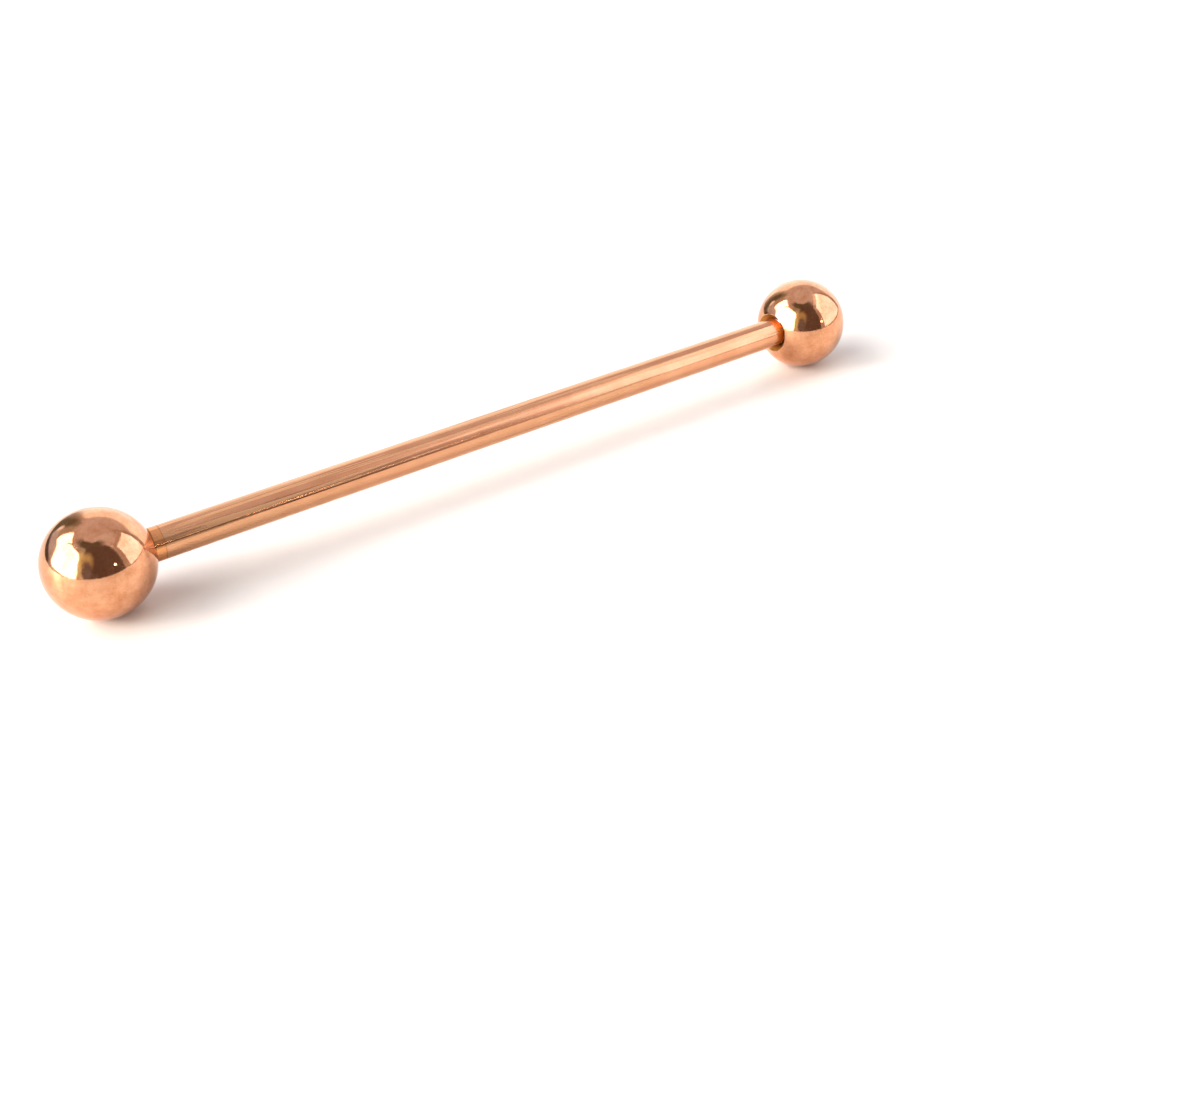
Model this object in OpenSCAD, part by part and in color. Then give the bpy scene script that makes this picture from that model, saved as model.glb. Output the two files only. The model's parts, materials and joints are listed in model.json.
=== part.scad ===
// Straight barbell for a long ear piercing: a polished bar with a screw-on ball at each end.
// It lies on its two balls. +X runs along the bar from the left ball to the right one, +Z is up,
// and the origin is on the surface below the middle of the bar. Millimetres.

/* [Bar] */
// Diameter of the bar (1.6 is 14 gauge)
bar_d = 1.6; // [1.2:0.1:2]
// Length of the bar between the seats of its two balls
bar_length = 38; // [16:1:44]
// Edge broken off each shoulder, along the bar
shoulder_edge = 0.03; // [0.02:0.005:0.03]

/* [Balls] */
// Diameter of each ball
ball_d = 5; // [4:0.5:8]
// Width of the countersink's ring round the bar, across the axis
countersink_ring = 0.285; // [0.2:0.005:0.35]
// Gap left between a screwed-on ball's seat and the bar's shoulder
seat_gap = 0.08; // [0.06:0.01:0.1]

/* [Thread] */
// Thread pitch, which is what a ball moves in one turn
pitch = 0.35; // [0.3:0.05:0.4]
// Length of the threaded stub at each end of the bar
stub_length = 2.05; // [1.6:0.05:2.2]
// How much smaller than the bar the stub is over its crests
thread_drop = 0.08; // [0.08:0.01:0.12]
// Depth of the stub's thread
thread_depth = 0.16; // [0.12:0.01:0.18]
// Gap between the crests of the stub and of the hole, round the axis
thread_gap = 0.025; // [0.02:0.005:0.035]
// Depth of the thread in the ball's hole
groove_depth = 0.13; // [0.1:0.01:0.16]

/* [Hidden] */

rose_gold = "#d9977b";

bar_r = bar_d / 2;
ball_r = ball_d / 2;

// The countersink is a right-angled cone that is as wide as the bar at the seat.
mouth_r = bar_r + countersink_ring;
mouth_x = sqrt(ball_r * ball_r - mouth_r * mouth_r);
seat_x = mouth_x - countersink_ring;
ball_x = bar_length / 2 + seat_x;
shoulder_x = bar_length / 2 - seat_gap;

// Stub: its end is chamfered down past the root of the thread.
crest_r = bar_r - thread_drop / 2;
root_r = crest_r - thread_depth;
tip_x = shoulder_x + stub_length;
tip_length = 0.22;
tip_r = root_r - 0.16;

// Each ball is screwed home with this turn about the bar, so that no seam of its surface is underneath.
ball_turn = 120;

// Blind hole in a ball: its drill point lies past the end of the screwed-in stub.
hole_r = crest_r + thread_gap;
groove_r = hole_r + groove_depth;
hole_depth = stub_length - seat_gap + 0.2;
drill_point = hole_r * tan(31);

// Thread form: 60 degree flanks, and flats on the crests
flank = tan(30);
crest_flat = pitch / 8;
// A thread starts this far inside the round form that it stands on, and ends half as far in.
bury = 0.03;
// Straight steps in one turn of a thread
steps = 24;
// Smoothness of the preview's round forms, which are true curves
smooth = 96;

// A point on a helix, at a radius, a turn and a height above the helix's own line
function on_helix(r, turn, z) = [r * cos(360 * turn), r * sin(360 * turn), pitch * turn + z];

// A thread's four corners at one turn. It narrows from its inner radius to its outer one.
function section(inner_r, outer_r, turn) =
    let (half_out = crest_flat / 2, half_in = half_out + (outer_r - inner_r) * flank)
    [
        on_helix(inner_r, turn, -half_in),
        on_helix(outer_r, turn, -half_out),
        on_helix(outer_r, turn, half_out),
        on_helix(inner_r, turn, half_in)
    ];

// A right-hand thread round +Z on a form of radius base_r. It fades into the form at its top.
module thread(base_r, outer_r, turns, fade_turns) {
    count = ceil(turns * steps);
    points = [
        for (i = [0:count])
            let (
                turn = turns * i / count,
                share = min(1, (turns - turn) / fade_turns),
                faded_r = base_r - bury / 2
            )
            each section(base_r - bury, faded_r + (outer_r - faded_r) * share, turn)
    ];
    sides = [
        for (i = [0:count - 1], k = [0:3])
            let (a = 4 * i + k, b = 4 * i + (k + 1) % 4)
            each [[a, b, a + 4], [b, b + 4, a + 4]]
    ];
    last = 4 * count;
    ends = [[2, 1, 0], [3, 2, 0], [last, last + 1, last + 2], [last, last + 2, last + 3]];
    polyhedron(points, concat(sides, ends));
}

// Lays what is modelled along +Z along +X, at the height of the bar's axis.
module along_bar() {
    translate([0, 0, ball_r]) rotate([0, 90, 0]) children();
}

// Right half of the bar's turned section, as radius and distance along the axis
right_half = [
    [bar_r, shoulder_x - shoulder_edge],
    [bar_r - shoulder_edge, shoulder_x],
    [root_r, shoulder_x],
    [root_r, tip_x - tip_length],
    [tip_r, tip_x],
    [0, tip_x]
];
left_half = [for (i = [len(right_half) - 1:-1:0]) [right_half[i][0], -right_half[i][1]]];

// The thread on the right stub, from inside the shoulder to the chamfer at the tip
module stub_thread() {
    start = shoulder_x - pitch / 2;
    turns = (tip_x - tip_length / 2 - start) / pitch;
    translate([0, 0, start]) thread(root_r, crest_r, turns, 0.75);
}

module bar() {
    color(rose_gold) along_bar() {
        rotate_extrude($fn = smooth) polygon(concat(right_half, left_half));
        stub_thread();
        rotate([180, 0, 0]) stub_thread();
    }
}

// What is bored out of a ball, with the ball's middle at the origin and its mouth towards +Z
module hole() {
    neck_z = seat_x - bar_r + hole_r;
    end_z = seat_x - hole_depth;
    // The cone runs on past the ball, as wide as it is long.
    past = ball_r - mouth_x + 0.1;
    rotate_extrude($fn = smooth) polygon([
        [0, mouth_x + past],
        [mouth_r + past, mouth_x + past],
        [hole_r, neck_z],
        [hole_r, end_z],
        [0, end_z - drill_point]
    ]);
}

// The hole's thread, from a turn above its bottom to half a turn below its neck
module groove() {
    start = seat_x - hole_depth + pitch;
    turns = (seat_x - bar_r + hole_r - pitch / 2 - start) / pitch;
    translate([0, 0, start]) thread(hole_r, groove_r, turns, 0.5);
}

module ball() {
    color(rose_gold) rotate([0, 0, ball_turn]) difference() {
        sphere(ball_r, $fn = smooth);
        hole();
        groove();
    }
}

module left_ball() {
    along_bar() translate([0, 0, -ball_x]) ball();
}

module right_ball() {
    along_bar() translate([0, 0, ball_x]) rotate([180, 0, 0]) ball();
}

bar();
left_ball();
right_ball();
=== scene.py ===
# Straight barbell: a polished bar with a screw-on ball at each end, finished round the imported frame.
# It lies on its two balls. +X runs along the bar, +Z is up, and the origin is on the floor. Metres.
import json
import math
from collections import namedtuple

import bmesh
import bpy
from mathutils import Matrix, Vector


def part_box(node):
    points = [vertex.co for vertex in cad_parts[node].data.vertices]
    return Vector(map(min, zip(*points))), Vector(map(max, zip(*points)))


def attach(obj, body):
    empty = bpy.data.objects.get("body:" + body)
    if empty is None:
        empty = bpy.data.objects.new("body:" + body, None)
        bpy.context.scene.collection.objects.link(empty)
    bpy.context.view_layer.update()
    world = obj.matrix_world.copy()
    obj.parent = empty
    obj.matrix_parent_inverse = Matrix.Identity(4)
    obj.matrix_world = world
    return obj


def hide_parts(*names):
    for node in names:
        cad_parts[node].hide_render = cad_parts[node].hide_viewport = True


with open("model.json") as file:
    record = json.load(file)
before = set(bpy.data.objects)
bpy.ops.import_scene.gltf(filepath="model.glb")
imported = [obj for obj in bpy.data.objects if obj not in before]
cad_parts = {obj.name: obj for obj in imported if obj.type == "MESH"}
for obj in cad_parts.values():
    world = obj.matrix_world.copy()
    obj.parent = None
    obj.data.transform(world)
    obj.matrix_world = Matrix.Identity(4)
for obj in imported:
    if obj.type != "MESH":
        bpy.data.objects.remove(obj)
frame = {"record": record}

bl_info = {
    "name": "Straight Barbell",
    "version": (1, 0, 0),
    "blender": (4, 5, 0),
    "location": "3D View > Sidebar > Barbell",
    "description": "Models and finishes a rose gold barbell on a pale floor",
    "category": "Object",
}

MM = 0.001

# Vertices closer than this are one vertex. The second one is for rings made in separate steps.
SAME_PLACE = 1e-8
SAME_RING = 10 * SAME_PLACE

# Shading is smooth up to this angle between two faces.
SHARP_ANGLE = math.radians(40)

# Faces across a rounded edge
ROUNDING_STEPS = 4

# What the frame says of the barbell
SHAFT = frame["record"]["mounts"][0]
BAR_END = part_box("bar")[1]
BALL_LOW, BALL_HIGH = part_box("right_ball")
AXIS_HEIGHT = SHAFT["pos_m"][2]
BALL_MIDDLE = BALL_HIGH.x - AXIS_HEIGHT

# The mount's length leaves out the edge that is broken off each shoulder, in millimetres.
SHOULDER_EDGE = 0.03

# Thread form: each flank leans 30 degrees from a square cut, the narrow flat is an eighth of the pitch
# wide, and corners sharper than the last angle are rounded.
FLANK = math.radians(30)
CREST_SHARE = 1 / 8
THREAD_CORNER = math.radians(25)


def linear(code):
    """Turns an sRGB hex colour into Blender's linear one."""
    shares = [int(code[i:i + 2], 16) / 255 for i in (1, 3, 5)]
    return [s / 12.92 if s <= 0.04045 else ((s + 0.055) / 1.055) ** 2.4 for s in shares]


def length_property(name, description, default):
    """A setting in metres that can show a thousandth of a millimetre."""
    return bpy.props.FloatProperty(
        name=name, description=description, default=default, unit="LENGTH", precision=6, min=0
    )


def colour_property(name, description, code):
    """A colour setting with a hex default."""
    return bpy.props.FloatVectorProperty(
        name=name, description=description, default=linear(code), subtype="COLOR", min=0, max=1
    )


def share_property(name, description, default):
    """A setting from 0 to 1, such as a roughness."""
    return bpy.props.FloatProperty(
        name=name, description=description, default=default, min=0, max=1
    )


def angle_property(name, description, degrees):
    """An angle setting with its default in degrees."""
    return bpy.props.FloatProperty(
        name=name, description=description, default=math.radians(degrees), subtype="ANGLE"
    )


class BarSizes(bpy.types.PropertyGroup):
    """Sizes of the bar"""

    radius: length_property("Radius", "Radius of the polished bar", SHAFT["dims"]["r_mm"] * MM)
    edge: length_property("Shoulder Edge", "Edge broken off each shoulder", SHOULDER_EDGE * MM)
    shoulder: length_property(
        "Shoulder", "Distance of each shoulder from the middle of the bar",
        (SHAFT["dims"]["length_mm"] / 2 + SHOULDER_EDGE) * MM,
    )
    tip: length_property("Tip", "Distance of each tip from the middle of the bar", BAR_END.x)
    tip_radius: length_property(
        "Tip Radius", "Radius of the round chamfer where it ends", 0.5 * MM
    )
    plain_tip: length_property(
        "Plain Tip", "Length of each tip that has no thread", 0.175 * MM
    )
    steps: bpy.props.IntProperty(
        name="Steps", description="Faces round the bar", default=128, min=24
    )


class BallSizes(bpy.types.PropertyGroup):
    """Sizes of the two balls"""

    radius: length_property(
        "Radius", "Radius of a ball, which is the height of the bar's axis", AXIS_HEIGHT
    )
    middle: length_property(
        "Middle", "Distance of a ball's middle from the middle of the bar", BALL_MIDDLE
    )
    lip: length_property(
        "Lip", "Distance of the countersink's lip from the middle of the bar", BALL_LOW.x
    )
    lip_edge: length_property("Lip Edge", "Edge broken off the countersink's lip", 0.03 * MM)
    hole_depth: length_property("Hole Depth", "Depth of the full hole below the lip", 2.455 * MM)
    drill_angle: angle_property("Drill Angle", "Half the angle at the drill's point", 59)
    steps: bpy.props.IntProperty(
        name="Steps", description="Faces round a ball", default=192, min=24
    )


class ThreadSizes(bpy.types.PropertyGroup):
    """Sizes of the threads"""

    pitch: length_property("Pitch", "What a ball moves in one turn", 0.35 * MM)
    crest: length_property("Crest Radius", "Radius over the stub's crests", 0.76 * MM)
    root: length_property("Root Radius", "Radius in the stub's roots", 0.60 * MM)
    hole: length_property("Hole Radius", "Radius over the hole's crests", 0.785 * MM)
    groove: length_property("Groove Radius", "Radius in the hole's grooves", 0.915 * MM)
    edge: length_property("Thread Edge", "Rounding of a thread's corners", 0.012 * MM)
    relief: length_property("Relief", "Plain stretch beside a thread's end", 0.05 * MM)
    steps: bpy.props.IntProperty(name="Steps", description="Faces in one turn", default=64, min=16)


class FinishSettings(bpy.types.PropertyGroup):
    """Colours and polish of the metals"""

    rose_gold: colour_property("Rose Gold", "Coating where it is thickest", "#c5855d")
    pale_gold: colour_property("Pale Rose Gold", "Coating where it is thinner", "#e1a882")
    line_gold: colour_property("Line Gold", "Coating in the bar's drawing lines", "#d19d74")
    # Painted light on the bar: a warm painted reflection of the ball beside each shoulder, and darker
    # painted shade along its border and inside the countersink.
    painted_ball_reflection: colour_property(
        "Ring Gold", "Coating in a ring beside each of the bar's shoulders", "#dc9864"
    )
    painted_joint_shade: colour_property("Edge Gold", "Coating along the edges of those rings", "#9c6038")
    # The recess colour is partly painted shade, in the countersinks and in the pits. The dark colour is
    # painted shade in the countersinks and oil on the threads.
    recess_gold_and_shade: colour_property("Recess Gold", "Coating in the countersinks", "#be9250")
    steel: colour_property("Steel", "Bare steel of the threads", "#b4afa6")
    oil_and_painted_shade: colour_property("Grime", "Cutting oil left in the roots of the threads", "#5e564a")
    ball_roughness: share_property("Ball Roughness", "Roughness of the mirror polish", 0.05)
    bar_polish: share_property(
        "Bar Polish", "Roughness of the bar between its drawing lines", 0.12
    )
    bar_roughness: share_property("Bar Roughness", "Roughness of the bar's drawing lines", 0.36)
    bar_grain: share_property(
        "Bar Grain",
        "How much further the bar smears a reflection along its length than across",
        0.95,
    )
    recess_roughness: share_property("Recess Roughness", "Roughness of the countersinks", 0.42)
    steel_roughness: share_property("Steel Roughness", "Roughness of the cut threads", 0.24)


class StudioSettings(bpy.types.PropertyGroup):
    """Floor, light and camera"""

    paper: colour_property("Paper", "White paper of the floor", "#f4f3f2")
    floor_size: length_property("Floor Size", "Side of the floor", 4.0)
    camera_place: bpy.props.FloatVectorProperty(
        name="Camera", description="Place of the camera", unit="LENGTH", precision=6,
        default=(-35.17 * MM, -56.75 * MM, 35.39 * MM),
    )
    heading: angle_property("Heading", "Turn of the camera from +Y towards +X", 36.02)
    tilt: angle_property("Tilt", "How far down the camera looks", 31.18)
    roll: angle_property("Roll", "Turn of the camera about its line of sight", -1.69)
    lens: bpy.props.FloatProperty(
        name="Lens", description="Focal length on a 36 mm sensor, in millimetres",
        default=43.6, min=10,
    )


class BarbellSettings(bpy.types.PropertyGroup):
    """All settings of the barbell"""

    bar: bpy.props.PointerProperty(type=BarSizes)
    ball: bpy.props.PointerProperty(type=BallSizes)
    thread: bpy.props.PointerProperty(type=ThreadSizes)
    finish: bpy.props.PointerProperty(type=FinishSettings)
    studio: bpy.props.PointerProperty(type=StudioSettings)


# Modelling with Blender's own operators. A piece is modelled about the X axis and raised at the end.


def deselect_all():
    """Leaves edit mode and selects nothing."""
    if bpy.context.object and bpy.context.object.mode != "OBJECT":
        bpy.ops.object.mode_set(mode="OBJECT")
    bpy.ops.object.select_all(action="DESELECT")


def pick(*pieces):
    """Selects these pieces alone. The first is the active one."""
    deselect_all()
    for piece in pieces:
        piece.select_set(True)
    bpy.context.view_layer.objects.active = pieces[0]


def edit_whole(piece):
    """Starts to edit a piece, with all of it selected."""
    pick(piece)
    bpy.ops.object.mode_set(mode="EDIT")
    bpy.ops.mesh.select_mode(type="VERT")
    bpy.ops.mesh.select_all(action="SELECT")


def select_edges(piece, wanted):
    """In edit mode, selects the edges that wanted() is true for."""
    bpy.ops.mesh.select_mode(type="EDGE")
    bpy.ops.mesh.select_all(action="DESELECT")
    shape = bmesh.from_edit_mesh(piece.data)
    found = [edge for edge in shape.edges if wanted(edge)]
    if not found:
        raise RuntimeError(f"{piece.name} has no such edges")
    for edge in found:
        edge.select_set(True)
    bmesh.update_edit_mesh(piece.data)


def distance_from_axis(place):
    """Distance of a place from the X axis."""
    return math.hypot(place.y, place.z)


def arc(middle, radius, start, end, steps):
    """Points (x, r) along an arc round middle, with its angles counted from +X towards +r."""
    turns = [start + (end - start) * i / steps for i in range(steps + 1)]
    return [(middle[0] + radius * math.cos(a), middle[1] + radius * math.sin(a)) for a in turns]


def draw_outline(name, points):
    """Draws an open outline through points (x, r), one extruded corner after the other."""
    deselect_all()
    bpy.ops.mesh.primitive_plane_add(size=MM)
    piece = bpy.context.object
    piece.name = name
    piece.data.name = name
    edit_whole(piece)
    bpy.ops.mesh.merge(type="CENTER")
    bpy.ops.transform.translate(value=(points[0][0], 0, points[0][1]))
    for (x, r), (next_x, next_r) in zip(points, points[1:]):
        step = (next_x - x, 0, next_r - r)
        bpy.ops.mesh.extrude_vertices_move(TRANSFORM_OT_translate={"value": step})
    return piece


def turn(name, points, steps):
    """Turns an outline round the X axis, as on a lathe."""
    piece = draw_outline(name, points)
    bpy.ops.mesh.select_all(action="SELECT")
    bpy.ops.mesh.spin(steps=steps, angle=math.tau, center=(0, 0, 0), axis=(1, 0, 0))
    bpy.ops.mesh.select_all(action="SELECT")
    bpy.ops.mesh.remove_doubles(threshold=SAME_PLACE)
    bpy.ops.object.mode_set(mode="OBJECT")
    return piece


def cut_thread(name, inner, outer, start, end, thread):
    """A right-hand thread's surface from start to end along X, open at both ends."""
    narrow = thread.pitch * CREST_SHARE
    run = (outer - inner) * math.tan(FLANK)
    wide = thread.pitch - narrow - 2 * run
    first = start - thread.pitch
    corners = [
        (first, inner),
        (first + wide / 2, inner),
        (first + wide / 2 + run, outer),
        (first + wide / 2 + run + narrow, outer),
        (first + thread.pitch - wide / 2, inner),
        (first + thread.pitch, inner),
    ]
    piece = draw_outline(name, corners)
    bpy.ops.object.mode_set(mode="OBJECT")
    screw = piece.modifiers.new("Screw", "SCREW")
    screw.axis = "X"
    screw.angle = math.tau
    screw.screw_offset = thread.pitch
    # A turn too many at each end, where the bisects then leave a clean ring
    screw.iterations = math.ceil((end - start) / thread.pitch) + 2
    screw.steps = thread.steps
    screw.render_steps = thread.steps
    bpy.ops.object.modifier_apply(modifier=screw.name)
    edit_whole(piece)
    bpy.ops.mesh.remove_doubles(threshold=SAME_PLACE)
    bpy.ops.object.mode_set(mode="OBJECT")
    bevel = piece.modifiers.new("Bevel", "BEVEL")
    bevel.width = thread.edge
    bevel.segments = 2
    bevel.limit_method = "ANGLE"
    bevel.angle_limit = THREAD_CORNER
    bpy.ops.object.modifier_apply(modifier=bevel.name)
    edit_whole(piece)
    for place, outside in ((start, {"clear_inner": True}), (end, {"clear_outer": True})):
        bpy.ops.mesh.select_all(action="SELECT")
        bpy.ops.mesh.bisect(
            plane_co=(place, 0, 0), plane_no=(1, 0, 0), threshold=SAME_PLACE, **outside
        )
    bpy.ops.object.mode_set(mode="OBJECT")
    return piece


def join(*pieces):
    """Joins pieces into the first one."""
    pick(*pieces)
    bpy.ops.object.join()
    return pieces[0]


def bridge(piece, low, high):
    """Bridges the two open rings that lie from low to high along X."""

    def open_ring(edge):
        return edge.is_boundary and all(low <= v.co.x <= high for v in edge.verts)

    edit_whole(piece)
    select_edges(piece, open_ring)
    bpy.ops.mesh.bridge_edge_loops()
    bpy.ops.object.mode_set(mode="OBJECT")


def break_edge(piece, x, r, width):
    """Rounds the ring at x and r."""

    def on_ring(edge):
        return all(
            abs(v.co.x - x) < SAME_PLACE and abs(distance_from_axis(v.co) - r) < SAME_RING
            for v in edge.verts
        )

    edit_whole(piece)
    select_edges(piece, on_ring)
    bpy.ops.mesh.bevel(
        offset=width, segments=ROUNDING_STEPS, affect="EDGES", clamp_overlap=True
    )
    bpy.ops.object.mode_set(mode="OBJECT")


def half_turned_copy(piece, name):
    """A copy with its own mesh, turned half round +Z, so that a right-hand thread stays one."""
    pick(piece)
    bpy.ops.object.duplicate()
    copy = bpy.context.object
    copy.name = name
    copy.data.name = name
    edit_whole(copy)
    bpy.ops.transform.rotate(value=math.pi, orient_axis="Z", center_override=(0, 0, 0))
    bpy.ops.object.mode_set(mode="OBJECT")
    return copy


def close_up(piece):
    """Merges doubles, points all faces outwards, checks that no seam is open, and smooths the
    shading."""
    edit_whole(piece)
    bpy.ops.mesh.remove_doubles(threshold=SAME_RING)
    bpy.ops.mesh.select_all(action="SELECT")
    bpy.ops.mesh.normals_make_consistent(inside=False)
    shape = bmesh.from_edit_mesh(piece.data)
    open_edges = sum(not edge.is_manifold for edge in shape.edges)
    bpy.ops.object.mode_set(mode="OBJECT")
    if open_edges:
        raise RuntimeError(f"{piece.name} has {open_edges} open edges")
    pick(piece)
    bpy.ops.object.shade_smooth_by_angle(angle=SHARP_ANGLE)


def move_mesh(piece, offset):
    """Moves a piece's mesh, so that its object stays at the origin."""
    edit_whole(piece)
    bpy.ops.transform.translate(value=offset)
    bpy.ops.object.mode_set(mode="OBJECT")


def paint(piece, materials, choose):
    """Gives a piece its materials. choose() takes a face's middle and gives its material's number."""
    piece.data.materials.clear()
    for material in materials:
        piece.data.materials.append(material)
    for face in piece.data.polygons:
        face.material_index = choose(face.center)


# Materials. Their patterns are in Object coordinates.

# Sizes of patches and grains, estimated from how the real finishes look
CLOUD = 0.8 * MM
DRIFT = 1.3 * MM
PIT_SPACING = 0.55 * MM
HAZE = 0.5 * MM
ORANGE_PEEL = 0.3 * MM
SPECK = 0.16 * MM
# Patches of oil on the threads, and of painted shade in the countersinks
STAIN_AND_SHADE_PATCH = 0.3 * MM
# Widths of lines. Real drawing lines are taken to be about 0.03 mm wide and the others 0.01 mm, which is
# too fine to show, so all are drawn four to six times as coarse.
HAIRLINE = 0.06 * MM
DRAWING_LINE = 0.16 * MM
CUTTER_LINE = 0.05 * MM
THREADING_LINE = 0.04 * MM
# The paper's fibres are too fine to show, so its mottle is drawn in coarse patches.
MOTTLE = 1.5 * MM

# Factors on X, Y and Z. A small one draws a pattern out that way, into strokes, lines or rings.
HAIRLINE_STRETCH = (0.04, 1, 1)
DRAWING_STRETCH = (0.015, 1, 1)
RING_STRETCH = (1, 0.02, 0.02)

# Depth of the relief that a polish and a cutting tool leave
POLISH_RELIEF = 0.003 * MM
CUT_RELIEF = 0.001 * MM

# What the noise that draws the drawing lines loses for each metre to the right
CLEARED = 4.0
# What the distance from the middle of the bar gains for each metre along X, Y and Z where the border
# # of a painted ring is drawn. It makes the left ring the wider one. The second one is how far a border
# # wanders. The rings are a painted reflection of the ball and painted shade at the joint.
RING_LEAN = (-0.015, 0.1, 0)
RING_WANDER = 0.2 * MM


def add_node(tree, kind, settings=(), sockets=()):
    """Adds a node. A socket gets a value, an output, or a node, which stands for its first output."""
    node = tree.nodes.new(kind)
    for name, value in dict(settings).items():
        setattr(node, name, value)
    for name, value in dict(sockets).items():
        if isinstance(value, bpy.types.Node):
            value = value.outputs[0]
        if isinstance(value, bpy.types.NodeSocket):
            tree.links.new(value, node.inputs[name])
        else:
            node.inputs[name].default_value = value
    return node


def new_material(name):
    """An empty material, its node tree and its Object coordinates."""
    material = bpy.data.materials.new(name)
    material.use_nodes = True
    tree = material.node_tree
    tree.nodes.clear()
    place = add_node(tree, "ShaderNodeTexCoord").outputs["Object"]
    return material, tree, place


def finish_material(tree, shader):
    """Links a material's shader to its output."""
    add_node(tree, "ShaderNodeOutputMaterial", sockets={"Surface": shader})


def opaque(colour):
    """A colour setting as the four numbers that a socket takes."""
    return (*colour, 1)


def mirror_polished_rose_gold(finish):
    """Surgical steel, barrel-polished to a mirror and vapour-coated in rose gold. The coating's
    thickness drifts in soft clouds and fine grain, the polish leaves a faint orange peel and a few
    pits, and handling leaves hairlines."""
    material, tree, place = new_material("mirror_polished_rose_gold")
    clouds = add_node(tree, "ShaderNodeTexNoise", sockets={
        "Vector": place, "Scale": 1 / CLOUD, "Detail": 8.0, "Roughness": 0.8,
    })
    share = add_node(tree, "ShaderNodeMapRange", sockets={
        "Value": clouds, "From Min": 0.36, "From Max": 0.64,
    })
    coating = add_node(tree, "ShaderNodeMix", {"data_type": "RGBA"}, {
        0: share, 6: opaque(finish.rose_gold), 7: opaque(finish.pale_gold),
    })

    # Pits: in three cells out of ten, a spot of its own width round the cell's point
    cells = add_node(tree, "ShaderNodeTexVoronoi", sockets={
        "Vector": place, "Scale": 1 / PIT_SPACING,
    })
    drawn = add_node(tree, "ShaderNodeSeparateColor", sockets={0: cells.outputs["Color"]})
    width = add_node(tree, "ShaderNodeMapRange", sockets={
        "Value": drawn, "From Min": 0.7, "From Max": 1.0, "To Min": 0.0, "To Max": 0.1,
    })
    inside = add_node(tree, "ShaderNodeMath", {"operation": "SUBTRACT"}, {
        0: width, 1: cells.outputs["Distance"],
    })
    pit = add_node(tree, "ShaderNodeMapRange", sockets={
        "Value": inside, "From Min": 0.0, "From Max": 0.04,
    })
    # The pits take the darker recess colour, as painted shade in them.
    colour = add_node(tree, "ShaderNodeMix", {"data_type": "RGBA"}, {
        0: pit, 6: coating.outputs[2], 7: opaque(finish.recess_gold_and_shade),
    })

    # Wear: hairlines over a haze
    wiped = add_node(tree, "ShaderNodeMapping", sockets={
        "Vector": place, "Rotation": (0.5, 0.9, 0.3), "Scale": HAIRLINE_STRETCH,
    })
    strokes = add_node(tree, "ShaderNodeTexNoise", sockets={
        "Vector": wiped, "Scale": 1 / HAIRLINE, "Detail": 2.0,
    })
    hairline = add_node(tree, "ShaderNodeMapRange", sockets={
        "Value": strokes, "From Min": 0.62, "From Max": 0.72, "To Min": 0.0, "To Max": 0.14,
    })
    haze = add_node(tree, "ShaderNodeTexNoise", sockets={
        "Vector": place, "Scale": 1 / HAZE, "Detail": 5.0,
    })
    worn = add_node(tree, "ShaderNodeMapRange", sockets={
        "Value": haze, "From Min": 0.35, "From Max": 0.7,
        "To Min": finish.ball_roughness, "To Max": finish.ball_roughness + 0.06,
    })
    roughness = add_node(tree, "ShaderNodeMath", {"operation": "ADD"}, {0: worn, 1: hairline})

    # Relief: the pits go a little deeper than the orange peel is high.
    peel = add_node(tree, "ShaderNodeTexNoise", sockets={
        "Vector": place, "Scale": 1 / ORANGE_PEEL, "Detail": 4.0,
    })
    height = add_node(tree, "ShaderNodeMath", {"operation": "MULTIPLY_ADD"}, {
        0: pit, 1: -1.2, 2: peel,
    })
    relief = add_node(tree, "ShaderNodeBump", sockets={
        "Strength": 1.0, "Distance": POLISH_RELIEF, "Height": height,
    })
    shader = add_node(tree, "ShaderNodeBsdfPrincipled", sockets={
        "Base Color": colour.outputs[2], "Metallic": 1.0, "Roughness": roughness,
        "Normal": relief,
    })
    finish_material(tree, shader)
    return material


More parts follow.
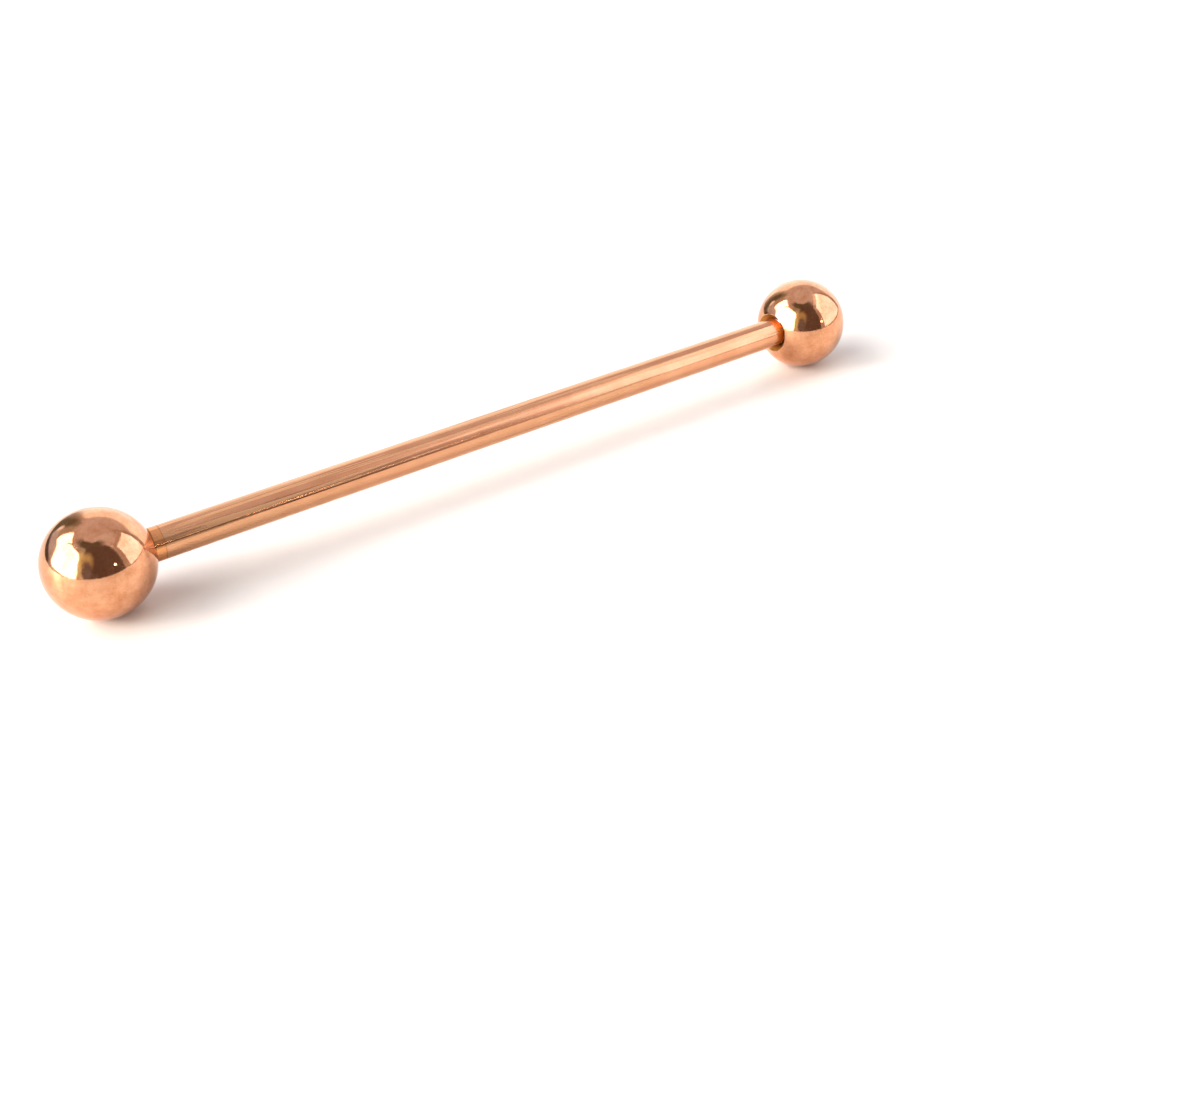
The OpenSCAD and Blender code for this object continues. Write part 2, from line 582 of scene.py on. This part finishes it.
def drawn_rose_gold(finish, shoulder):
    """Surgical steel bar, drawn, polished along its length and coated in rose gold. The drawing
    leaves long lines, which the polish has cleared better towards the right end, and the polish
    leaves specks. Beside each shoulder an uneven warm ring is painted in as the ball's reflection
    and the shade at the joint. Darker painted shade edges it, and the bar inside the countersink
    is painted darker as shade. The left ring is the wider of the two."""
    material, tree, place = new_material("drawn_rose_gold")
    drift = add_node(tree, "ShaderNodeTexNoise", sockets={
        "Vector": place, "Scale": 1 / DRIFT, "Detail": 3.0,
    })
    even = add_node(tree, "ShaderNodeMix", {"data_type": "RGBA"}, {
        0: drift, 6: opaque(finish.rose_gold), 7: opaque(finish.pale_gold),
    })

    # Drawing lines, with their depth from 0 to 1
    along = add_node(tree, "ShaderNodeMapping", sockets={
        "Vector": place, "Scale": DRAWING_STRETCH,
    })
    lines = add_node(tree, "ShaderNodeTexNoise", sockets={
        "Vector": along, "Scale": 1 / DRAWING_LINE, "Detail": 3.0,
    })
    parts = add_node(tree, "ShaderNodeSeparateXYZ", sockets={0: place})
    worn = add_node(tree, "ShaderNodeMath", {"operation": "MULTIPLY_ADD"}, {
        0: parts.outputs[0], 1: -CLEARED, 2: lines,
    })
    depth = add_node(tree, "ShaderNodeMapRange", sockets={
        "Value": worn, "From Min": 0.46, "From Max": 0.64,
    })
    lined = add_node(tree, "ShaderNodeMix", {"data_type": "RGBA"}, {
        0: depth, 6: even.outputs[2], 7: opaque(finish.line_gold),
    })

    # Painted rings beside each shoulder, for the ball's reflection and the shade at the joint: each row
    #     # is a distance from the middle of the bar, a line that is crossed on the way to the shoulder,
    #     how far
    #     # it fades, and the painted colour past it.
    out = add_node(tree, "ShaderNodeMath", {"operation": "ABSOLUTE"}, {0: parts.outputs[0]})
    lean = add_node(tree, "ShaderNodeVectorMath", {"operation": "DOT_PRODUCT"}, {
        0: place, 1: RING_LEAN,
    })
    uneven = add_node(tree, "ShaderNodeMath", {"operation": "ADD"}, {
        0: out, 1: lean.outputs["Value"],
    })
    ragged = add_node(tree, "ShaderNodeMath", {"operation": "MULTIPLY_ADD"}, {
        0: drift, 1: RING_WANDER, 2: uneven,
    })
    colour = lined
    for distance, start, soft, tint in (
        # The first and last rows paint shade, and the middle row paints the ball's reflection.
        (ragged, shoulder - 0.46 * MM, 0.05 * MM, finish.painted_joint_shade),
        (ragged, shoulder - 0.44 * MM, 0.06 * MM, finish.painted_ball_reflection),
        (uneven, shoulder - 0.13 * MM, 0.05 * MM, finish.painted_joint_shade),
    ):
        past = add_node(tree, "ShaderNodeMapRange", sockets={
            "Value": distance, "From Min": start, "From Max": start + soft,
        })
        colour = add_node(tree, "ShaderNodeMix", {"data_type": "RGBA"}, {
            0: past, 6: colour.outputs[2], 7: opaque(tint),
        })

    # Relief: the specks are a quarter as high as the drawing lines.
    specks = add_node(tree, "ShaderNodeTexNoise", sockets={
        "Vector": place, "Scale": 1 / SPECK, "Detail": 3.0,
    })
    height = add_node(tree, "ShaderNodeMath", {"operation": "MULTIPLY_ADD"}, {
        0: specks, 1: 0.25, 2: lines,
    })
    roughness = add_node(tree, "ShaderNodeMapRange", sockets={
        "Value": depth, "To Min": finish.bar_polish, "To Max": finish.bar_roughness,
    })
    relief = add_node(tree, "ShaderNodeBump", sockets={
        "Strength": 1.0, "Distance": POLISH_RELIEF, "Height": height,
    })
    around = add_node(tree, "ShaderNodeTangent", {"direction_type": "RADIAL", "axis": "X"})
    shader = add_node(tree, "ShaderNodeBsdfPrincipled", sockets={
        "Base Color": colour.outputs[2], "Metallic": 1.0, "Roughness": roughness,
        "Normal": relief, "Anisotropic": finish.bar_grain, "Anisotropic Rotation": 0.25,
        "Tangent": around,
    })
    finish_material(tree, shader)
    return material


def satin_rose_gold(finish):
    """The countersink is cut and not polished before it is coated: satin, with rings from the
    cutter. Its colour is browner and darker than the ball's, with darker patches, painted in as the
    shade inside the countersink."""
    material, tree, place = new_material("satin_rose_gold")
    stain_and_shade = add_node(tree, "ShaderNodeTexNoise", sockets={
        "Vector": place, "Scale": 1 / STAIN_AND_SHADE_PATCH, "Detail": 4.0,
    })
    share = add_node(tree, "ShaderNodeMapRange", sockets={
        "Value": stain_and_shade, "From Min": 0.45, "From Max": 0.7, "To Min": 0.0, "To Max": 0.5,
    })
    # Painted shade: the countersink is darkened in patches.
    colour = add_node(tree, "ShaderNodeMix", {"data_type": "RGBA"}, {
        0: share, 6: opaque(finish.recess_gold_and_shade), 7: opaque(finish.oil_and_painted_shade),
    })
    rings = add_node(tree, "ShaderNodeMapping", sockets={
        "Vector": place, "Scale": RING_STRETCH,
    })
    lines = add_node(tree, "ShaderNodeTexNoise", sockets={
        "Vector": rings, "Scale": 1 / CUTTER_LINE, "Detail": 2.0,
    })
    relief = add_node(tree, "ShaderNodeBump", sockets={
        "Strength": 1.0, "Distance": CUT_RELIEF, "Height": lines,
    })
    shader = add_node(tree, "ShaderNodeBsdfPrincipled", sockets={
        "Base Color": colour.outputs[2], "Metallic": 1.0, "Roughness": finish.recess_roughness,
        "Normal": relief,
    })
    finish_material(tree, shader)
    return material


def cut_steel(finish):
    """Bare surgical steel as the threading tools leave it: grey, satin, with fine rings round the
    axis and dark oil in places."""
    material, tree, place = new_material("cut_steel")
    rings = add_node(tree, "ShaderNodeMapping", sockets={
        "Vector": place, "Scale": RING_STRETCH,
    })
    lines = add_node(tree, "ShaderNodeTexNoise", sockets={
        "Vector": rings, "Scale": 1 / THREADING_LINE, "Detail": 3.0,
    })
    stain_and_shade = add_node(tree, "ShaderNodeTexNoise", sockets={
        "Vector": place, "Scale": 1 / STAIN_AND_SHADE_PATCH, "Detail": 4.0,
    })
    share = add_node(tree, "ShaderNodeMapRange", sockets={
        "Value": stain_and_shade, "From Min": 0.5, "From Max": 0.75, "To Min": 0.0, "To Max": 0.5,
    })
    colour = add_node(tree, "ShaderNodeMix", {"data_type": "RGBA"}, {
        0: share, 6: opaque(finish.steel), 7: opaque(finish.oil_and_painted_shade),
    })
    roughness = add_node(tree, "ShaderNodeMapRange", sockets={
        "Value": lines, "From Min": 0.3, "From Max": 0.7,
        "To Min": finish.steel_roughness, "To Max": finish.steel_roughness + 0.14,
    })
    relief = add_node(tree, "ShaderNodeBump", sockets={
        "Strength": 1.0, "Distance": CUT_RELIEF, "Height": lines,
    })
    shader = add_node(tree, "ShaderNodeBsdfPrincipled", sockets={
        "Base Color": colour.outputs[2], "Metallic": 1.0, "Roughness": roughness,
        "Normal": relief,
    })
    finish_material(tree, shader)
    return material


def white_paper(studio):
    """Smooth white paper: it scatters nearly all light, with a faint mottle and a soft gloss at a
    low angle."""
    material, tree, place = new_material("white_paper")
    mottle = add_node(tree, "ShaderNodeTexNoise", sockets={
        "Vector": place, "Scale": 1 / MOTTLE, "Detail": 4.0,
    })
    tone = add_node(tree, "ShaderNodeMapRange", sockets={
        "Value": mottle, "From Min": 0.3, "From Max": 0.7, "To Min": 0.98, "To Max": 1.0,
    })
    colour = add_node(tree, "ShaderNodeVectorMath", {"operation": "SCALE"}, {
        0: studio.paper, "Scale": tone,
    })
    shader = add_node(tree, "ShaderNodeBsdfPrincipled", sockets={
        "Base Color": colour, "Roughness": 0.5, "Specular IOR Level": 0.3,
    })
    finish_material(tree, shader)
    return material


# What the polish mirrors: the tent's own grey, and soft cards in it, from the back to the front. A card
# is placed by its bearing from the camera's heading and its elevation over the floor, in degrees. lean
# is the rise of a card's top and foot for each degree of bearing, square is 2 for an ellipse and more
# for squarer corners, softness is the edge's share of the card's size, and light is 1 for white.
TENT = (0.84, 0.79, 0.84, 1)
Card = namedtuple("Card", "bearing half_width elevation half_height lean square softness tone light")
CARDS = {
    "back wall": Card(8, 39, 3, 34, -0.27, 6, 0.1, "#ffffff", 1.7),
    "left wall": Card(-62, 36, 16, 37, 0, 4, 0.12, "#fffdf4", 0.6),
    "left upright": Card(-44, 10, 20, 29, -0.3, 3, 0.5, "#fffad8", 0.2),
    "left gleam": Card(-53, 4, 22, 7, 0, 2, 0.5, "#ffffff", 1.4),
    "behind board": Card(80, 32, 18, 34, 0, 6, 0.08, "#fff0e8", 0.16),
    "right upright": Card(51, 4.5, 20, 34, 0, 4, 0.3, "#fff0ea", 0.55),
    "far wall": Card(-160, 30, 48, 14, 0, 4, 0.2, "#fffdf4", 0.53),
    "door lintel": Card(-178, 62, 66.5, 7, 0, 4, 0.3, "#fff4d4", 0.17),
    "dark doorway": Card(153, 42, 27, 37, 0.1, 5, 0.06, "#ffe0d2", 0.18),
    "door glint": Card(126, 1.6, 16, 0.9, 0.2, 2, 0.5, "#fff0dc", 36.0),
    "door brass": Card(-173, 15, 36, 14, 0, 3, 0.5, "#fff4b8", 0.7),
    "warm side": Card(-176, 9, 18, 16, 0, 3, 0.35, "#fff0f0", 0.25),
    "window glow": Card(-158, 6, 26, 24, 0, 3, 0.5, "#fcffc0", 1.0),
    "window": Card(-113, 42, 29, 25, 0.15, 7, 0.045, "#fdf8f4", 6.9),
    "bright sky": Card(-112, 8, 20, 11, 0, 2, 0.4, "#fff2e2", 30.0),
    "window catch": Card(-108, 9, 51.5, 1.8, -0.6, 3, 0.5, "#fff4d0", 0.7),
    "sill": Card(-74, 20, 8, 21, 0, 3, 0.15, "#e8eeff", 0.9),
    "sill shadow": Card(-68, 19, 2, 8, 0, 2.5, 0.3, "#fff4f0", 0.13),
}
# How far the cards' edges wander, in degrees, and how finely
CARD_WANDER = 5.0
WANDER_SCALE = 5.0
# What the camera itself sees past the floor: white
PAST_FLOOR = (1.1, 1.1, 1.1, 1)

# Two flat soft lamps stand close by at the right, so that each point of the polish mirrors them
# elsewhere. Each is given as the left ball's middle sees it, in degrees and millimetres: the bearing of
# its middle and the distance along it, half its width, and its lowest and highest point over the floor.
Lamp = namedtuple("Lamp", "bearing distance half_width low high tone light")
LAMPS = {
    "brown_board": Lamp(82, 98, 53, 0.5, 134, "#fff0ea", 0.48),
    "soft_panel": Lamp(77, 95, 38.5, 6, 94, "#e4ecff", 2.15),
}


def card_mask(tree, bearing, elevation, card):
    """How much of a card shows in a direction, from 0 to 1 across its soft edges."""
    turned = add_node(tree, "ShaderNodeMath", {"operation": "SUBTRACT"}, {
        0: bearing, 1: card.bearing,
    })
    beside = add_node(tree, "ShaderNodeMath", {"operation": "WRAP"}, {0: turned, 1: 180, 2: -180})
    level = add_node(tree, "ShaderNodeMath", {"operation": "MULTIPLY_ADD"}, {
        0: beside, 1: card.lean, 2: card.elevation,
    })
    above = add_node(tree, "ShaderNodeMath", {"operation": "SUBTRACT"}, {0: elevation, 1: level})
    powers = []
    for off, half in ((beside, card.half_width), (above, card.half_height)):
        share = add_node(tree, "ShaderNodeMath", {"operation": "DIVIDE"}, {0: off, 1: half})
        size = add_node(tree, "ShaderNodeMath", {"operation": "ABSOLUTE"}, {0: share})
        powers.append(add_node(tree, "ShaderNodeMath", {"operation": "POWER"}, {
            0: size, 1: card.square,
        }))
    total = add_node(tree, "ShaderNodeMath", {"operation": "ADD"}, {0: powers[0], 1: powers[1]})
    reach = add_node(tree, "ShaderNodeMath", {"operation": "POWER"}, {
        0: total, 1: 1 / card.square,
    })
    return add_node(tree, "ShaderNodeMapRange", {"interpolation_type": "SMOOTHSTEP"}, {
        "Value": reach, "From Min": 1 + card.softness, "From Max": 1 - card.softness,
    })


def light_tent(studio):
    """World light: a window at the camera's left, white walls, a grey ceiling and a dark side
    behind the camera."""
    world = bpy.data.worlds.new("light_tent")
    world.use_nodes = True
    tree = world.node_tree
    tree.nodes.clear()
    direction = add_node(tree, "ShaderNodeTexCoord").outputs["Generated"]
    ahead = add_node(tree, "ShaderNodeVectorRotate", {"rotation_type": "Z_AXIS"}, {
        "Vector": direction, "Angle": studio.heading,
    })
    wobble = add_node(tree, "ShaderNodeTexNoise", sockets={
        "Vector": ahead, "Scale": WANDER_SCALE, "Detail": 2.0,
    })
    shift = add_node(tree, "ShaderNodeMath", {"operation": "MULTIPLY_ADD"}, {
        0: wobble, 1: CARD_WANDER, 2: -CARD_WANDER / 2,
    })
    parts = add_node(tree, "ShaderNodeSeparateXYZ", sockets={0: ahead})
    turned = add_node(tree, "ShaderNodeMath", {"operation": "ARCTAN2"}, {
        0: parts.outputs[0], 1: parts.outputs[1],
    })
    raised = add_node(tree, "ShaderNodeMath", {"operation": "ARCSINE"}, {0: parts.outputs[2]})
    bearing, elevation = [
        add_node(tree, "ShaderNodeMath", {"operation": "MULTIPLY_ADD"}, {
            0: angle, 1: math.degrees(1), 2: shift,
        })
        for angle in (turned, raised)
    ]
    light = TENT
    for card in CARDS.values():
        mask = card_mask(tree, bearing, elevation, card)
        tone = [share * card.light for share in linear(card.tone)]
        mixed = add_node(tree, "ShaderNodeMix", {"data_type": "RGBA"}, {
            0: mask, 6: light, 7: opaque(tone),
        })
        light = mixed.outputs[2]
    seen = add_node(tree, "ShaderNodeLightPath").outputs["Is Camera Ray"]
    shown = add_node(tree, "ShaderNodeMix", {"data_type": "RGBA"}, {
        0: seen, 6: light, 7: PAST_FLOOR,
    })
    background = add_node(tree, "ShaderNodeBackground", sockets={"Color": shown.outputs[2]})
    add_node(tree, "ShaderNodeOutputWorld", sockets={"Surface": background})
    return world


def hang_lamp(name, lamp, heading):
    """Adds a soft lamp that faces the left ball. It shows in the polish and leaves the floor to
    the window."""
    turned = heading + math.radians(lamp.bearing)
    ahead = Vector((math.sin(turned), math.cos(turned), 0))
    height = (lamp.low + lamp.high) / 2 * MM
    foot = Vector((-BALL_MIDDLE, 0, 0)) + ahead * lamp.distance * MM
    facing = (math.pi / 2, 0, math.pi - turned)
    bpy.ops.object.light_add(
        type="AREA", location=foot + Vector((0, 0, height)), rotation=facing
    )
    lit = bpy.context.object
    lit.name = name
    lit.visible_diffuse = False
    lit.data.shape = "RECTANGLE"
    lit.data.size = 2 * lamp.half_width * MM
    lit.data.size_y = (lamp.high - lamp.low) * MM
    lit.data.color = linear(lamp.tone)
    lit.data.energy = math.pi * lamp.light * lit.data.size * lit.data.size_y


# Operators, one for each piece or pair of pieces and one for the stage


class BARBELL_OT_add_bar(bpy.types.Operator):
    """Models the bar, with a threaded stub at each end"""

    bl_idname = "barbell.add_bar"
    bl_label = "Add Bar"

    def execute(self, context):
        settings = context.scene.barbell
        bar, thread = settings.bar, settings.thread
        # The right half first, from the middle of the bar to the shoulder
        stations = 20
        shaft = [(bar.shoulder * i / stations, bar.radius) for i in range(stations)]
        beside_edge = [(bar.shoulder - 2 * bar.edge, bar.radius)]
        rounding = (bar.shoulder - bar.edge, bar.radius - bar.edge)
        edge = arc(rounding, bar.edge, math.pi / 2, 0, ROUNDING_STEPS)
        shoulder = [(bar.shoulder, thread.root)]
        half = turn("half_bar", shaft + beside_edge + edge + shoulder, bar.steps)

        thread_start = bar.shoulder + thread.relief
        thread_end = bar.tip - bar.plain_tip
        sleeve = cut_thread(
            "stub_thread", thread.root, thread.crest, thread_start, thread_end, thread
        )

        tip_rounding = (bar.tip - thread.relief, bar.tip_radius - thread.relief)
        chamfer = arc(tip_rounding, thread.relief, math.pi / 4, 0, ROUNDING_STEPS)
        tip_face = [(bar.tip, bar.tip_radius / 2), (bar.tip, 0)]
        tip = turn("stub_tip", chamfer + tip_face, thread.steps)

        half = join(half, sleeve, tip)
        bridge(half, bar.shoulder - SAME_PLACE, thread_start + SAME_PLACE)
        bridge(half, thread_end - SAME_PLACE, bar.tip)
        piece = join(half, half_turned_copy(half, "other_half"))
        piece.name = "polished_bar"
        piece.data.name = "polished_bar"
        close_up(piece)
        paint(
            piece,
            (drawn_rose_gold(settings.finish, bar.shoulder), cut_steel(settings.finish)),
            lambda middle: 1 if abs(middle.x) > bar.shoulder + SAME_PLACE else 0,
        )
        move_mesh(piece, (0, 0, AXIS_HEIGHT))
        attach(piece, "bar")
        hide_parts("bar")
        return {"FINISHED"}


class BARBELL_OT_add_balls(bpy.types.Operator):
    """Models one ball with its countersink and threaded hole, and places it and its copy"""

    bl_idname = "barbell.add_balls"
    bl_label = "Add Balls"

    def execute(self, context):
        settings = context.scene.barbell
        ball, thread = settings.ball, settings.thread
        # Places along X from the ball's middle. The mouth of the hole is towards -X.
        lip = ball.lip - ball.middle
        mouth = math.sqrt(ball.radius ** 2 - lip ** 2)
        neck = lip + mouth - thread.hole
        end = lip + ball.hole_depth
        point = end + thread.hole / math.tan(ball.drill_angle)
        round_part = arc((0, 0), ball.radius, 0, math.atan2(mouth, lip), ball.steps // 2)
        countersink = [(neck, thread.hole), (neck + thread.relief / 2, thread.hole)]
        shell = turn("ball_shell", round_part + countersink, ball.steps)
        break_edge(shell, lip, mouth, ball.lip_edge)

        thread_start = neck + thread.relief
        thread_end = end - thread.pitch / 2
        sleeve = cut_thread(
            "hole_thread", thread.hole, thread.groove, thread_start, thread_end, thread
        )
        bottom_start = thread_end + thread.relief
        drilled = [(bottom_start, thread.hole), (end, thread.hole), (point, 0)]
        bottom = turn("hole_bottom", drilled, thread.steps)

        piece = join(shell, sleeve, bottom)
        bridge(piece, neck, thread_start + SAME_PLACE)
        bridge(piece, thread_end - SAME_PLACE, bottom_start + SAME_PLACE)
        close_up(piece)

        def choose(middle):
            """0 for the mirror polish, 1 for the countersink and 2 for the bare hole."""
            r = distance_from_axis(middle)
            if middle.x > neck and middle.x < point and r < thread.groove + SAME_PLACE:
                return 2
            on_cone = abs((middle.x - lip) + (r - mouth)) < ball.lip_edge / 4
            return 1 if on_cone and middle.x < neck + SAME_PLACE else 0

        paint(piece, (
            mirror_polished_rose_gold(settings.finish),
            satin_rose_gold(settings.finish),
            cut_steel(settings.finish),
        ), choose)
        piece.name = "right_polished_ball"
        piece.data.name = "right_polished_ball"
        other = half_turned_copy(piece, "left_polished_ball")
        for side, body, one in ((1, "right_ball", piece), (-1, "left_ball", other)):
            move_mesh(one, (side * ball.middle, 0, AXIS_HEIGHT))
            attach(one, body)
            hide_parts(body)
        return {"FINISHED"}


class BARBELL_OT_set_stage(bpy.types.Operator):
    """Sets the floor, the light and the camera"""

    bl_idname = "barbell.set_stage"
    bl_label = "Set Stage"

    def execute(self, context):
        studio = context.scene.barbell.studio
        deselect_all()
        bpy.ops.mesh.primitive_plane_add(size=studio.floor_size)
        floor = context.object
        floor.name = "paper_floor"
        floor.data.materials.append(white_paper(studio))

        context.scene.world = light_tent(studio)
        for name, lamp in LAMPS.items():
            hang_lamp(name, lamp, studio.heading)
        context.scene.view_settings.view_transform = "Standard"

        turned = (
            Matrix.Rotation(-studio.heading, 3, "Z")
            @ Matrix.Rotation(math.pi / 2 - studio.tilt, 3, "X")
            @ Matrix.Rotation(studio.roll, 3, "Z")
        )
        bpy.ops.object.camera_add(location=studio.camera_place, rotation=turned.to_euler())
        camera = context.object
        camera.data.lens = studio.lens
        camera.data.clip_start = 1 * MM
        context.scene.camera = camera
        return {"FINISHED"}


class BARBELL_PT_tools(bpy.types.Panel):
    """Lists the barbell's settings and the operators that model it"""

    bl_label = "Barbell"
    bl_idname = "BARBELL_PT_tools"
    bl_space_type = "VIEW_3D"
    bl_region_type = "UI"
    bl_category = "Barbell"

    def draw(self, context):
        settings = context.scene.barbell
        groups = (settings.bar, settings.ball, settings.thread, settings.finish, settings.studio)
        for group in groups:
            box = self.layout.box()
            box.label(text=group.bl_rna.name)
            for name in group.__annotations__:
                box.prop(group, name)
        for operator in OPERATORS:
            self.layout.operator(operator.bl_idname)


GROUPS = (BarSizes, BallSizes, ThreadSizes, FinishSettings, StudioSettings, BarbellSettings)
OPERATORS = (BARBELL_OT_set_stage, BARBELL_OT_add_bar, BARBELL_OT_add_balls)
CLASSES = (*GROUPS, *OPERATORS, BARBELL_PT_tools)


def register():
    for one in CLASSES:
        bpy.utils.register_class(one)
    bpy.types.Scene.barbell = bpy.props.PointerProperty(type=BarbellSettings)


def unregister():
    del bpy.types.Scene.barbell
    for one in reversed(CLASSES):
        bpy.utils.unregister_class(one)


def main():
    """Makes the stage and the pieces."""
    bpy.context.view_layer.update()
    register()
    bpy.ops.barbell.set_stage()
    bpy.ops.barbell.add_bar()
    bpy.ops.barbell.add_balls()
    deselect_all()


if __name__ == "__main__":
    main()
